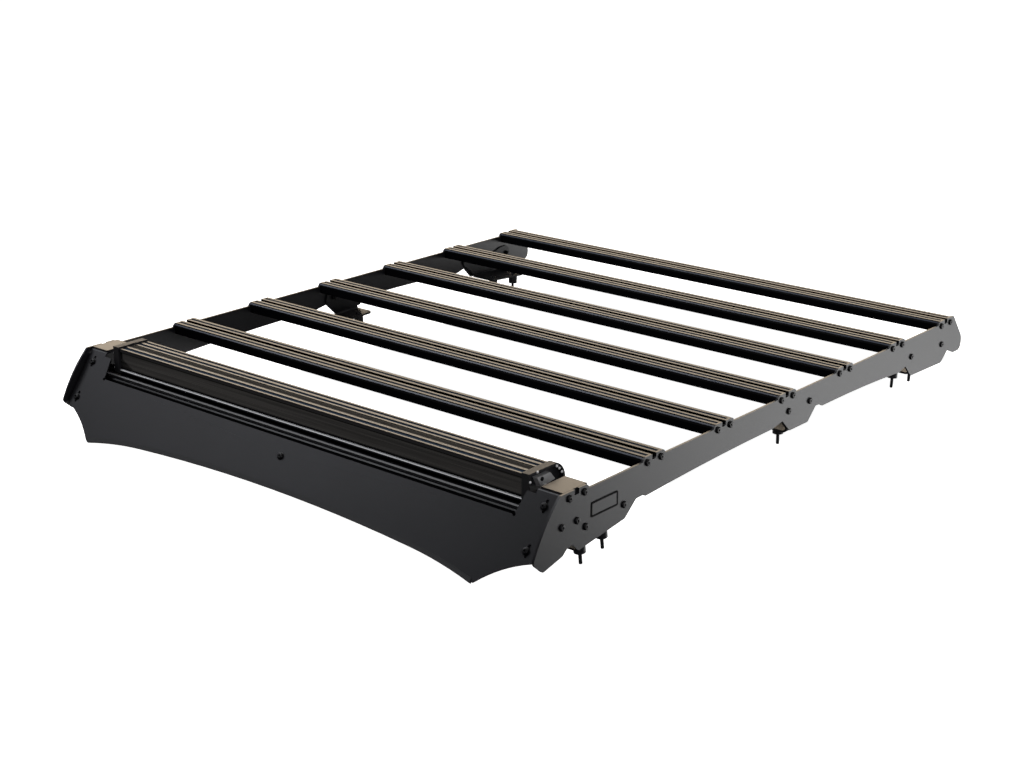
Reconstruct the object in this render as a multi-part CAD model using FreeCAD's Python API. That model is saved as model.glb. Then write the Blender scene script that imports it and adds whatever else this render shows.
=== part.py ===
import FreeCAD, Part
import math
import os

# A flat platform roof rack: two cut side plates carry six slotted slats and a
# lowered front slat. A leaning wind deflector with a lighting cut-out closes
# the front, a light bar sits in the cut-out, and six folded feet with studs
# hold the platform to the roof.
#
# All sizes are millimetres. X runs to the right, Y to the rear and Z up. The
# model is drawn from the middle of the front upper bolt pair and is moved to
# the middle of its base at the end.

# Overall arrangement
SLAT_LENGTH = 1158.0
PLATE_THICKNESS = 4.0
SLAT_PITCH = 200.0
SLAT_COUNT = 6
BOLT_HALF_SPACING = 18.55
BOLT_HOLE_RADIUS = 3.3
INNER_FACE = SLAT_LENGTH / 2
FRONT_LINE = 0.0
MIDDLE_LINE = SLAT_PITCH * (SLAT_COUNT // 2)
REAR_LINE = SLAT_PITCH * SLAT_COUNT

# Slat section
SLAT_HALF_WIDTH = 27.8
SLAT_TOP = 10.6
SLAT_HEIGHT = 22.0
SLAT_WALL = 2.2
SLAT_CHAMFER = 3.25
SLOT_MOUTH = 9.2
SLOT_LIP = 3.0
SLOT_CHAMBER_WIDTH = 14.0
SLOT_CHAMBER_DEPTH = 6.0
GROOVE_OFFSET = 14.3
GROOVE_WIDTH = 7.2
GROOVE_DEPTH = 3.0
GROOVE_SLOPE = 0.35
SLAT_EDGE_RADIUS = 0.5
SLAT_FOOT_RADIUS = 2.0
SCREW_BOSS = 9.2
SCREW_PORT_RADIUS = 2.6
SLAT_BOTTOM = SLAT_TOP - SLAT_HEIGHT

# Lowered front slat
FRONT_SLAT_Y = -18.3
FRONT_SLAT_DROP = 41.8

# Side plate's top edge
BUMP_HEIGHT = 7.1
BUMP_HALF_WIDTH = 27.0
BUMP_SLOPE = 4.0
BUMP_RADIUS = 8.0
NOTCH_HALF_WIDTH = 5.5
NOTCH_DEPTH = 9.2
NOTCH_RADIUS = 2.0
PLATE_FRONT_TOP = -40.5
PLATE_FRONT_TOP_RADIUS = 4.0
PLATE_REAR_TOP = 33.0
PLATE_REAR_TOP_RADIUS = 6.0
TOP_EDGE = SLAT_TOP - BUMP_HEIGHT

# Side plate's outline below, as (distance from its slat's line, height, corner
# radius): the rear end with the rear foot's bay and the arch before it
PLATE_REAR = [
    (76.0, -43.0, 24.0),
    (73.6, -70.1, 14.0),
    (42.5, -69.7, 9.0),
    (16.0, -58.7, 4.0),
    (-9.4, -79.2, 10.0),
    (-136.4, -75.2, 4.0),
    (-160.5, -50.0, 4.0),
    (-185.5, -56.4, 6.0),
    (-323.0, -47.9, 4000.0),
]
# the middle foot's bay and the arch before it
PLATE_MIDDLE = [
    (125.0, -48.0, 4.0),
    (115.0, -42.5, 4.0),
    (101.5, -41.5, 6.0),
    (75.5, -66.0, 7.0),
    (14.0, -65.7, 3.0),
    (-11.2, -41.0, 4.0),
    (-45.5, -46.9, 8.0),
    (-236.7, -46.9, 6800.0),
]
# the front foot's bay, the step before it, the lower lobe and the front edge
PLATE_FRONT = [
    (179.0, -56.6, 3.0),
    (170.0, -52.6, 3.0),
    (153.0, -53.3, 6.0),
    (123.5, -78.1, 6.0),
    (5.8, -93.5, 4.0),
    (-10.3, -78.4, 5.0),
    (-24.0, -81.8, 5.0),
    (-34.0, -90.3, 5.0),
    (-81.4, -101.6, 7.0),
    (-104.4, -81.5, 8.0),
    (-80.1, -30.6, 280.0),
]

# Brackets at the front corners
CORNER_SHEET = 3.0
CORNER_WIDTH = 44.0
CORNER_FRONT = -28.0
CORNER_REAR = 30.0
CORNER_FLANGE_LOW = -13.0
CORNER_FOLD_RADIUS = 0.8
CORNER_INNER = INNER_FACE - CORNER_WIDTH

# Wind deflector, with distances up its slope from the height of the bolt line
DEFLECTOR_THICKNESS = 2.5
DEFLECTOR_LEAN = math.radians(35.4)
DEFLECTOR_FACE_Y = -36.3
DEFLECTOR_END_GAP = 4.0
DEFLECTOR_HALF_WIDTH = INNER_FACE - DEFLECTOR_END_GAP
TAB_WIDTH = 43.5
TAB_REACH = 26.0
TAB_FOLD_RADIUS = 4.0
TAB_TOP = SLAT_TOP - CORNER_SHEET
CUTOUT_TOP = 1.0
CUTOUT_TOP_INSET = 65.5
CUTOUT_LOW = -40.0
CUTOUT_LOW_INSET = 71.5
CUTOUT_RELIEF_RADIUS = 3.0
LOWER_CORNER = -160.5
LOWER_CORNER_INSET = 97.0
LOWER_CORNER_RADIUS = 3.0
SIDE_ARC_START = -102.8
SIDE_ARC_CORNER = -121.6
SIDE_ARC_INSET = 57.6
SIDE_ARC_RADIUS = 235.0
ARCH_TURN = -144.6
ARCH_TURN_INSET = 168.0
ARCH_FLANKS_MEET = -115.0
ARCH_RADIUS = 4700.0
ARCH_END_RADIUS = 1000.0
SCREW_INSET = 21.5
SCREW_UPPER = -14.9
SCREW_LOWER = -88.0
SCREW_CENTRE = -70.8
SLOT_LENGTH = 23.0
SLOT_WIDTH = 6.0
SLOT_RISE = 1.0
SCREW_X = INNER_FACE - SCREW_INSET

# Rubber trim on the deflector's lower arch
TRIM_WALL = 1.2
TRIM_BELOW = 2.0
TRIM_ABOVE = 6.0
TRIM_END_GAP = 4.0

# Angles behind the deflector
DEFLECTOR_BRACKET_LEG = 36.0
DEFLECTOR_BRACKET_BELOW = 12.0
DEFLECTOR_BRACKET_ABOVE = 14.0
DEFLECTOR_BRACKET_CORNER = 5.0
DEFLECTOR_BRACKET_WEB = 12.0
DEFLECTOR_BRACKET_WEB_LENGTH = 30.0
STAY_WIDTH = 34.0
STAY_BELOW = 16.0
STAY_ABOVE = 14.0
STAY_CORNER = 4.0
STAY_UNDER_SLAT = 20.0

# Feet
FOOT_SHEET = 4.0
FOOT_BEND = 9.0
FOOT_LAP = 6.0
FLANGE_CORNER = 9.0
STUD_RADIUS = 3.0
SHANK_RADIUS = 3.25
STUD_HOLE_RADIUS = 3.5
STUD_REACH = 21.0
SPACER_RADIUS = 10.0
SPACER_HEIGHT = 19.0
HEAD_ACROSS = 10.0
HEAD_HEIGHT = 4.0

# Each foot by its slat's line: the web's outline, its bolts, the flange's ends
# and the studs as distances from that line, the flange's reach from the side
# plate and the studs' distance back from the flange's tip
FEET = {
    "front": {
        "line": FRONT_LINE,
        "web": [
            (11.5, -45.0, 4.0),
            (133.0, -41.0, 10.0),
            (131.0, -62.0, 10.0),
            (108.0, -82.0, 6.0),
            (12.0, -90.0, 6.0),
            (2.0, -76.0, 10.0),
            (2.5, -55.0, 3.0),
            (11.5, -52.5, 2.0),
        ],
        "bolts": ((22.1, -58.6), (120.0, -52.8)),
        "flange": (10.7, 108.7),
        "flange_reach": 40.0,
        "flange_floor": -96.3,
        "tilt": 7.5,
        "studs": (38.7, 94.8),
        "stud_margin": 18.5,
    },
    "mid": {
        "line": MIDDLE_LINE,
        "web": [
            (-10.0, -13.6, 6.0),
            (85.0, -12.6, 8.0),
            (90.0, -29.6, 8.0),
            (89.0, -61.6, 4.0),
            (11.0, -61.6, 10.0),
            (-16.0, -35.6, 12.0),
        ],
        "bolts": ((7.5, -27.2), (78.1, -25.9)),
        "flange": (11.0, 79.0),
        "flange_reach": 51.0,
        "flange_floor": -70.7,
        "tilt": 1.5,
        "studs": (46.8,),
        "stud_margin": 11.0,
    },
    "rear": {
        "line": REAR_LINE,
        "web": [
            (-163.9, -17.6, 6.0),
            (-56.9, -29.6, 10.0),
            (-30.9, -21.6, 12.0),
            (-2.9, -21.6, 12.0),
            (-0.9, -55.6, 10.0),
            (-20.9, -73.6, 8.0),
            (-130.9, -69.6, 10.0),
            (-167.9, -39.6, 12.0),
        ],
        "bolts": ((-140.2, -34.9), (-13.0, -39.5)),
        "flange": (-134.0, -19.0),
        "flange_reach": 65.0,
        "flange_floor": -77.2,
        "tilt": -4.0,
        "studs": (-110.9, -38.4),
        "stud_margin": 16.8,
    },
}

# Light bar, its grooves as distances from its front
BAR_END_GAP = 22.6
CAP_WIDTH = 15.0
CAP_FLOOR = 5.0
CAP_WALL = 3.5
CAP_OVERHANG = 2.5
BAR_TOP = 22.0
BAR_FLOOR = -24.0
BAR_FRONT = -27.2
BAR_BACK_CENTRE = (26.8, -6.5)
BAR_BACK_RADIUS = 30.5
BAR_GROOVES = ((4.0, 14.0), (20.0, 36.0), (40.0, 48.0), (54.0, 61.0))
BAR_GROOVE_DEPTH = 3.0
FIN_COUNT = 4
FIN_WIDTH = 1.4
FIN_HEIGHT = 1.8
LENS_SETBACK = 2.0
LENS_HALF_HEIGHT = 15.8
LENS_THICKNESS = 4.0
LENS_LIP_DROP = 4.5
BAR_HALF_LENGTH = CORNER_INNER - BAR_END_GAP - CAP_WIDTH

# Light bar's brackets: the block in the end cap and the arm to the corner
BAR_BLOCK = [(-9.7, 13.1, 1.0), (22.3, 13.1, 1.0), (34.8, -0.9, 1.0), (-0.2, -4.5, 0)]
ARM_FRONT = 2.8
ARM_WIDTH = 6.0
ARM_FLOOR = -4.5
ARM_THICKNESS = 4.0
ARM_TOP = 6.6
ARM_LAP = 2.0


def point(x, y, z):
    return FreeCAD.Vector(x, y, z)


def on_side(x):
    """Places an outline drawn as (y, z) on the upright plane at x."""
    return lambda y, z: point(x, y, z)


def on_front(y):
    """Places an outline drawn as (x, z) on the upright plane at y."""
    return lambda x, z: point(x, y, z)


def on_level(z):
    """Places an outline drawn as (x, y) on the level plane at z."""
    return lambda x, y: point(x, y, z)


def corner_arcs(corners):
    """How far each corner's arc reaches along its sides, and half its angle.

    Arcs that would meet on one side are limited by that side's length.
    """
    count = len(corners)
    points = [point(a, b, 0) for a, b, radius in corners]
    halves = []
    reaches = []
    for index in range(count):
        back = points[index - 1] - points[index]
        ahead = points[(index + 1) % count] - points[index]
        halves.append(back.getAngle(ahead) / 2)
        reaches.append(corners[index][2] / math.tan(halves[index]))
    shares = []
    for index in range(count):
        side = (points[(index + 1) % count] - points[index]).Length
        wanted = reaches[index] + reaches[(index + 1) % count]
        shares.append(side / max(side, wanted))
    limited = [reaches[index] * min(shares[index], shares[index - 1]) for index in range(count)]
    return points, limited, halves


def rounded_outline(corners, place):
    """A closed wire through corners given as (a, b, radius of that corner)."""
    points, reaches, halves = corner_arcs(corners)
    count = len(corners)
    stretches = []
    for index in range(count):
        here = points[index]
        if reaches[index] == 0:
            stretches.append((here, None, here))
            continue
        back = (points[index - 1] - here).normalize()
        ahead = (points[(index + 1) % count] - here).normalize()
        middle_line = (back + ahead).normalize()
        radius = reaches[index] * math.tan(halves[index])
        to_arc = radius / math.sin(halves[index]) - radius
        start = here + back * reaches[index]
        end = here + ahead * reaches[index]
        stretches.append((start, here + middle_line * to_arc, end))
    edges = []
    for index in range(count):
        start, middle, end = stretches[index]
        following = stretches[(index + 1) % count][0]
        if middle is not None:
            arc = Part.Arc(place(start.x, start.y), place(middle.x, middle.y), place(end.x, end.y))
            edges.append(arc.toShape())
        if (following - end).Length > 1e-6:
            edges.append(Part.makeLine(place(end.x, end.y), place(following.x, following.y)))
    return Part.Wire(edges)


def sheet(corners, place, thickness):
    """A flat sheet with the given outline, thickened along a vector."""
    return Part.Face(rounded_outline(corners, place)).extrude(thickness)


def along(line, corners):
    """Moves an outline drawn from a slat's line to that line's place."""
    return [(line + y, z, radius) for y, z, radius in corners]


def cylinder(radius, length, base, direction):
    return Part.makeCylinder(radius, length, base, direction)


def mirrored(shape):
    """The left hand piece of a right hand one."""
    return shape.mirror(point(0, 0, 0), point(1, 0, 0))


def joined(shapes):
    whole = shapes[0]
    for shape in shapes[1:]:
        whole = whole.fuse(shape)
    return whole.removeSplitter()


# Slats

def slat_top_outline():
    """The right half of the slat's outside, from the slot's mouth outwards."""
    half_groove = GROOVE_WIDTH / 2
    slope = GROOVE_DEPTH * GROOVE_SLOPE
    groove_floor = SLAT_TOP - GROOVE_DEPTH
    return [
        (SLOT_MOUTH / 2, SLAT_TOP, 0),
        (GROOVE_OFFSET - half_groove, SLAT_TOP, 0),
        (GROOVE_OFFSET - half_groove + slope, groove_floor, 0),
        (GROOVE_OFFSET + half_groove - slope, groove_floor, 0),
        (GROOVE_OFFSET + half_groove, SLAT_TOP, 0),
        (SLAT_HALF_WIDTH - SLAT_CHAMFER, SLAT_TOP, SLAT_EDGE_RADIUS),
        (SLAT_HALF_WIDTH, SLAT_TOP - SLAT_CHAMFER, SLAT_EDGE_RADIUS),
        (SLAT_HALF_WIDTH, SLAT_BOTTOM, SLAT_FOOT_RADIUS),
    ]


def slat_slot_outline():
    """The right half of the slot, from the chamber's floor up to the mouth."""
    ceiling = SLAT_TOP - SLOT_LIP
    floor = ceiling - SLOT_CHAMBER_DEPTH
    return [
        (SLOT_CHAMBER_WIDTH / 2, floor, 0),
        (SLOT_CHAMBER_WIDTH / 2, ceiling, 0),
        (SLOT_MOUTH / 2, ceiling, 0),
    ]


def slat_chamber():
    """The hollow beside the slot, round the boss that takes an end screw."""
    inner = SLOT_CHAMBER_WIDTH / 2 + SLAT_WALL
    outer = SLAT_HALF_WIDTH - SLAT_WALL
    floor = SLAT_BOTTOM + SLAT_WALL
    ceiling = SLAT_TOP - GROOVE_DEPTH - SLAT_WALL
    hollow_low = point(-INNER_FACE, inner, floor)
    hollow = Part.makeBox(SLAT_LENGTH, outer - inner, ceiling - floor, hollow_low)
    boss_floor = -SCREW_BOSS / 2
    boss_low = point(-INNER_FACE, BOLT_HALF_SPACING - SCREW_BOSS / 2, boss_floor)
    boss = Part.makeBox(SLAT_LENGTH, SCREW_BOSS, ceiling - boss_floor, boss_low)
    web_low = point(-INNER_FACE, BOLT_HALF_SPACING - SLAT_WALL / 2, floor)
    web = Part.makeBox(SLAT_LENGTH, SLAT_WALL, ceiling - floor, web_low)
    return hollow.cut(boss).cut(web)


def slat():
    """One slotted slat, centred on its own bolt line."""
    right = slat_slot_outline() + slat_top_outline()
    left = [(-y, z, radius) for y, z, radius in reversed(right)]
    body = sheet(right + left, on_side(-INNER_FACE), point(SLAT_LENGTH, 0, 0))
    right_hollow = slat_chamber()
    left_hollow = right_hollow.mirror(point(0, 0, 0), point(0, 1, 0))
    body = body.cut(right_hollow).cut(left_hollow)
    for side in (-1, 1):
        start = point(-INNER_FACE, side * BOLT_HALF_SPACING, 0)
        body = body.cut(cylinder(SCREW_PORT_RADIUS, SLAT_LENGTH, start, point(1, 0, 0)))
    return body


# Side plates

def bump_start(centre):
    return [
        (centre - BUMP_HALF_WIDTH - BUMP_SLOPE, TOP_EDGE, 0),
        (centre - BUMP_HALF_WIDTH, SLAT_TOP, BUMP_RADIUS),
    ]


def bump_end(centre):
    return [
        (centre + BUMP_HALF_WIDTH, SLAT_TOP, BUMP_RADIUS),
        (centre + BUMP_HALF_WIDTH + BUMP_SLOPE, TOP_EDGE, 0),
    ]


def slot_notch(centre):
    floor = SLAT_TOP - NOTCH_DEPTH
    return [
        (centre - NOTCH_HALF_WIDTH, SLAT_TOP, 0),
        (centre - NOTCH_HALF_WIDTH, floor, NOTCH_RADIUS),
        (centre + NOTCH_HALF_WIDTH, floor, NOTCH_RADIUS),
        (centre + NOTCH_HALF_WIDTH, SLAT_TOP, 0),
    ]


def plate_top_edge():
    """The top edge, raised round each slat end and notched over each slot."""
    corners = [(FRONT_LINE + PLATE_FRONT_TOP, SLAT_TOP, PLATE_FRONT_TOP_RADIUS)]
    corners += slot_notch(FRONT_LINE) + bump_end(FRONT_LINE)
    for number in range(1, SLAT_COUNT):
        centre = SLAT_PITCH * number
        corners += bump_start(centre) + slot_notch(centre) + bump_end(centre)
    corners += bump_start(REAR_LINE) + slot_notch(REAR_LINE)
    corners.append((REAR_LINE + PLATE_REAR_TOP, SLAT_TOP, PLATE_REAR_TOP_RADIUS))
    return corners


def plate_outline():
    """The whole outline, along the top to the rear and back along the bottom."""
    bottom = along(REAR_LINE, PLATE_REAR) + along(MIDDLE_LINE, PLATE_MIDDLE)
    return plate_top_edge() + bottom + along(FRONT_LINE, PLATE_FRONT)


def foot_bolts(foot):
    """The bolts that hold a foot's web to its side plate, as (y, z)."""
    return [(foot["line"] + y, z) for y, z in foot["bolts"]]


def plate_bolts():
    """Every bolt hole in a side plate, as (y, z)."""
    holes = []
    for side in (-1, 1):
        offset = side * BOLT_HALF_SPACING
        for number in range(SLAT_COUNT + 1):
            holes.append((SLAT_PITCH * number + offset, 0.0))
        holes.append((FRONT_SLAT_Y + offset, -FRONT_SLAT_DROP))
    for foot in FEET.values():
        holes += foot_bolts(foot)
    return holes


def side_plate():
    """The right side plate."""
    plate = sheet(plate_outline(), on_side(INNER_FACE), point(PLATE_THICKNESS, 0, 0))
    for y, z in plate_bolts():
        base = point(INNER_FACE - 1, y, z)
        plate = plate.cut(cylinder(BOLT_HOLE_RADIUS, PLATE_THICKNESS + 2, base, point(1, 0, 0)))
    return plate


# Wind deflector

UP_SLOPE = point(0, math.sin(DEFLECTOR_LEAN), math.cos(DEFLECTOR_LEAN))
BEHIND = point(0, math.cos(DEFLECTOR_LEAN), -math.sin(DEFLECTOR_LEAN))


def on_slope(depth):
    """Places an outline drawn as (x, distance up the slope) behind the face."""
    origin = point(0, DEFLECTOR_FACE_Y, 0) + BEHIND * depth

    def place(x, up):
        return origin + point(x, 0, 0) + UP_SLOPE * up

    return place


def arch_corners(offset):
    """The lower arch from right to left: a long middle arc and two end arcs."""
    turn_x = INNER_FACE - ARCH_TURN_INSET
    return [
        (turn_x, ARCH_TURN + offset, ARCH_END_RADIUS),
        (0.0, ARCH_FLANKS_MEET + offset, ARCH_RADIUS),
        (-turn_x, ARCH_TURN + offset, ARCH_END_RADIUS),
    ]


def deflector_face_outline():
    """The flat part of the deflector, seen square on."""
    right = [
        (INNER_FACE - CUTOUT_LOW_INSET, CUTOUT_LOW, 0),
        (INNER_FACE - CUTOUT_TOP_INSET, CUTOUT_TOP, 0),
        (DEFLECTOR_HALF_WIDTH, CUTOUT_TOP, 0),
        (DEFLECTOR_HALF_WIDTH, SIDE_ARC_START, 0),
        (INNER_FACE - SIDE_ARC_INSET, SIDE_ARC_CORNER, SIDE_ARC_RADIUS),
        (INNER_FACE - LOWER_CORNER_INSET, LOWER_CORNER, LOWER_CORNER_RADIUS),
    ]
    left = [(-x, up, radius) for x, up, radius in reversed(right)]
    return right + arch_corners(0.0) + left


def deflector_tab():
    """The tab at the right end, folded back under the corner bracket."""
    slope = math.tan(DEFLECTOR_LEAN)
    through = DEFLECTOR_THICKNESS / math.cos(DEFLECTOR_LEAN)
    under = TAB_TOP - DEFLECTOR_THICKNESS
    fold = DEFLECTOR_FACE_Y + slope * TAB_TOP
    inner_fold = DEFLECTOR_FACE_Y + slope * under + through
    low = on_slope(0)(0, CUTOUT_TOP)
    low_back = on_slope(DEFLECTOR_THICKNESS)(0, CUTOUT_TOP)
    corners = [
        (low.y, low.z, 0),
        (fold, TAB_TOP, TAB_FOLD_RADIUS),
        (fold + TAB_REACH, TAB_TOP, 0),
        (fold + TAB_REACH, under, 0),
        (inner_fold, under, TAB_FOLD_RADIUS - DEFLECTOR_THICKNESS),
        (low_back.y, low_back.z, 0),
    ]
    inner = DEFLECTOR_HALF_WIDTH - TAB_WIDTH
    return sheet(corners, on_side(inner), point(TAB_WIDTH, 0, 0))


def screw_slot(x, up):
    """A slot along the slope that a deflector screw passes."""
    half_width = SLOT_WIDTH / 2
    half_length = SLOT_LENGTH / 2
    corners = [
        (x - half_width, up - half_length, half_width),
        (x + half_width, up - half_length, half_width),
        (x + half_width, up + half_length, half_width),
        (x - half_width, up + half_length, half_width),
    ]
    return sheet(corners, on_slope(-1), BEHIND * (DEFLECTOR_THICKNESS + 2))


def wind_deflector():
    face = sheet(deflector_face_outline(), on_slope(0), BEHIND * DEFLECTOR_THICKNESS)
    tab = deflector_tab()
    whole = joined([face, tab, mirrored(tab)])
    front = on_slope(-1)
    through = DEFLECTOR_THICKNESS + 2
    for side in (-1, 1):
        for up in (SCREW_UPPER, SCREW_LOWER):
            whole = whole.cut(screw_slot(side * SCREW_X, up + SLOT_RISE))
        relief = front(side * (INNER_FACE - CUTOUT_LOW_INSET), CUTOUT_LOW)
        whole = whole.cut(cylinder(CUTOUT_RELIEF_RADIUS, through, relief, BEHIND))
    return whole.cut(cylinder(BOLT_HOLE_RADIUS, through, front(0, SCREW_CENTRE), BEHIND))


def edge_trim(deflector):
    """The rubber channel pushed over the deflector's lower arch."""
    end = INNER_FACE - LOWER_CORNER_INSET - TRIM_END_GAP
    right = [(end, LOWER_CORNER + TRIM_ABOVE, 0), (end, LOWER_CORNER - TRIM_BELOW, 0)]
    left = [(-x, up, radius) for x, up, radius in reversed(right)]
    upper = [(x, up, radius) for x, up, radius in reversed(arch_corners(TRIM_ABOVE))]
    outline = right + arch_corners(-TRIM_BELOW) + left + upper
    depth = DEFLECTOR_THICKNESS + 2 * TRIM_WALL
    return sheet(outline, on_slope(-TRIM_WALL), BEHIND * depth).cut(deflector)


# Brackets at the front

def corner_bracket():
    """The right corner's folded plate, bolted through the front bolt pair."""
    under = SLAT_TOP - CORNER_SHEET
    outer = INNER_FACE
    inner = INNER_FACE - CORNER_SHEET
    section = [
        (CORNER_INNER, SLAT_TOP, 0),
        (outer, SLAT_TOP, CORNER_FOLD_RADIUS),
        (outer, CORNER_FLANGE_LOW, 0),
        (inner, CORNER_FLANGE_LOW, 0),
        (inner, under, 0),
        (CORNER_INNER, under, 0),
    ]
    depth = point(0, CORNER_REAR - CORNER_FRONT, 0)
    bracket = sheet(section, on_front(CORNER_FRONT), depth)
    for side in (-1, 1):
        base = point(inner - 1, side * BOLT_HALF_SPACING, 0)
        hole = cylinder(BOLT_HOLE_RADIUS, CORNER_SHEET + 2, base, point(1, 0, 0))
        bracket = bracket.cut(hole)
    return bracket


def deflector_bracket():
    """The right angle behind the deflector, welded to the side plate."""
    low = SCREW_LOWER - DEFLECTOR_BRACKET_BELOW
    high = SCREW_UPPER + DEFLECTOR_BRACKET_ABOVE
    outer = INNER_FACE
    leg = outer - DEFLECTOR_BRACKET_LEG
    corner = DEFLECTOR_BRACKET_CORNER
    corners = [(leg, low, corner), (outer, low, 0), (outer, high, 0), (leg, high, corner)]
    pad = sheet(corners, on_slope(DEFLECTOR_THICKNESS), BEHIND * CORNER_SHEET)
    back = on_slope(DEFLECTOR_THICKNESS + CORNER_SHEET / 2)
    web_low = back(0, low)
    web_high = back(0, low + DEFLECTOR_BRACKET_WEB_LENGTH)
    web = [
        (web_low.y, web_low.z, 0),
        (web_low.y + DEFLECTOR_BRACKET_WEB, web_low.z, CORNER_SHEET),
        (web_high.y + DEFLECTOR_BRACKET_WEB, web_high.z, CORNER_SHEET),
        (web_high.y, web_high.z, 0),
    ]
    side = sheet(web, on_side(outer - CORNER_SHEET), point(CORNER_SHEET, 0, 0))
    bracket = joined([pad, side])
    for up in (SCREW_UPPER, SCREW_LOWER):
        base = on_slope(DEFLECTOR_THICKNESS - 1)(SCREW_X, up)
        bracket = bracket.cut(cylinder(BOLT_HOLE_RADIUS, CORNER_SHEET + 2, base, BEHIND))
    return bracket


def deflector_stay():
    """The middle stay from under the front slat to the deflector's back."""
    half = STAY_WIDTH / 2
    low = SCREW_CENTRE - STAY_BELOW
    high = SCREW_CENTRE + STAY_ABOVE
    corner = STAY_CORNER
    corners = [(-half, low, corner), (half, low, corner), (half, high, corner), (-half, high, corner)]
    pad = sheet(corners, on_slope(DEFLECTOR_THICKNESS), BEHIND * CORNER_SHEET)
    top = SLAT_BOTTOM - FRONT_SLAT_DROP
    slope = math.tan(DEFLECTOR_LEAN)
    through = (DEFLECTOR_THICKNESS + CORNER_SHEET / 2) / math.cos(DEFLECTOR_LEAN)
    front = DEFLECTOR_FACE_Y + slope * top + through
    length = FRONT_SLAT_Y - front + STAY_UNDER_SLAT
    strip_low = point(-half, front, top - CORNER_SHEET)
    strip = Part.makeBox(STAY_WIDTH, length, CORNER_SHEET, strip_low)
    stay = joined([pad, strip])
    screw = on_slope(DEFLECTOR_THICKNESS - 1)(0, SCREW_CENTRE)
    return stay.cut(cylinder(BOLT_HOLE_RADIUS, CORNER_SHEET + 3, screw, BEHIND))


# Feet

def stud_x(foot):
    """The studs' distance to the right, set back from the flange's tip."""
    return INNER_FACE - foot["flange_reach"] + foot["stud_margin"]


def stud_places(foot):
    """The studs' places along the level flange, before it is tilted."""
    first = foot["studs"][0]
    stretch = 1 / math.cos(math.radians(foot["tilt"]))
    return [foot["line"] + first + (y - first) * stretch for y in foot["studs"]]


def tilter(foot):
    """Turns what is drawn level, about the first stud, to the roof's slope."""
    pivot = point(0, stud_places(foot)[0], foot["flange_floor"])

    def tilt(shape):
        turned = shape.copy()
        turned.rotate(pivot, point(1, 0, 0), foot["tilt"])
        return turned

    return tilt


def foot_flange(foot):
    """The level flange with its bend and the lap up the web."""
    floor = foot["flange_floor"]
    outer = INNER_FACE
    tip = outer - foot["flange_reach"]
    lap_top = floor + FOOT_BEND + FOOT_LAP
    section = [
        (tip, floor, 0),
        (outer, floor, FOOT_BEND),
        (outer, lap_top, 0),
        (outer - FOOT_SHEET, lap_top, 0),
        (outer - FOOT_SHEET, floor + FOOT_SHEET, FOOT_BEND - FOOT_SHEET),
        (tip, floor + FOOT_SHEET, 0),
    ]
    start = foot["line"] + foot["flange"][0]
    end = foot["line"] + foot["flange"][1]
    folded = sheet(section, on_front(start), point(0, end - start, 0))
    plan = [(tip, start, FLANGE_CORNER), (outer, start, 0), (outer, end, 0), (tip, end, FLANGE_CORNER)]
    return folded.common(sheet(plan, on_level(floor), point(0, 0, FOOT_BEND + FOOT_LAP)))


def foot_bracket(foot):
    """The right foot: a web on the side plate and a flange folded inwards."""
    tilt = tilter(foot)
    outline = along(foot["line"], foot["web"])
    web = sheet(outline, on_side(INNER_FACE - FOOT_SHEET), point(FOOT_SHEET, 0, 0))
    bracket = joined([web, tilt(foot_flange(foot))])
    for y in stud_places(foot):
        base = point(stud_x(foot), y, foot["flange_floor"] - 1)
        hole = cylinder(STUD_HOLE_RADIUS, FOOT_SHEET + 2, base, point(0, 0, 1))
        bracket = bracket.cut(tilt(hole))
    for y, z in foot_bolts(foot):
        base = point(INNER_FACE - FOOT_SHEET - 1, y, z)
        bracket = bracket.cut(cylinder(BOLT_HOLE_RADIUS, FOOT_SHEET + 2, base, point(1, 0, 0)))
    return bracket


def foot_spacers(foot):
    """The round spacers under a foot's flange."""
    tilt = tilter(foot)
    up = point(0, 0, 1)
    spacers = []
    for y in stud_places(foot):
        base = point(stud_x(foot), y, foot["flange_floor"] - SPACER_HEIGHT)
        body = cylinder(SPACER_RADIUS, SPACER_HEIGHT, base, up)
        bore = cylinder(STUD_HOLE_RADIUS, SPACER_HEIGHT, base, up)
        spacers.append(tilt(body.cut(bore)))
    return Part.makeCompound(spacers)


def hex_head(centre):
    """A plain hexagon with its flats across the given width."""
    corner = HEAD_ACROSS / math.sqrt(3)
    ring = []
    for step in range(7):
        turn = math.radians(60 * step)
        ring.append(centre + point(corner * math.cos(turn), corner * math.sin(turn), 0))
    return Part.Face(Part.makePolygon(ring)).extrude(point(0, 0, HEAD_HEIGHT))


def foot_studs(foot):
    """The studs down through a foot's flange and spacers, each with its head."""
    tilt = tilter(foot)
    up = point(0, 0, 1)
    x = stud_x(foot)
    spacer_floor = foot["flange_floor"] - SPACER_HEIGHT
    flange_top = foot["flange_floor"] + FOOT_SHEET
    studs = []
    for y in stud_places(foot):
        end = cylinder(STUD_RADIUS, STUD_REACH, point(x, y, spacer_floor - STUD_REACH), up)
        shank = cylinder(SHANK_RADIUS, flange_top - spacer_floor, point(x, y, spacer_floor), up)
        head = hex_head(point(x, y, flange_top))
        studs.append(tilt(joined([end, shank, head])))
    return Part.makeCompound(studs)


# Light bar

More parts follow.
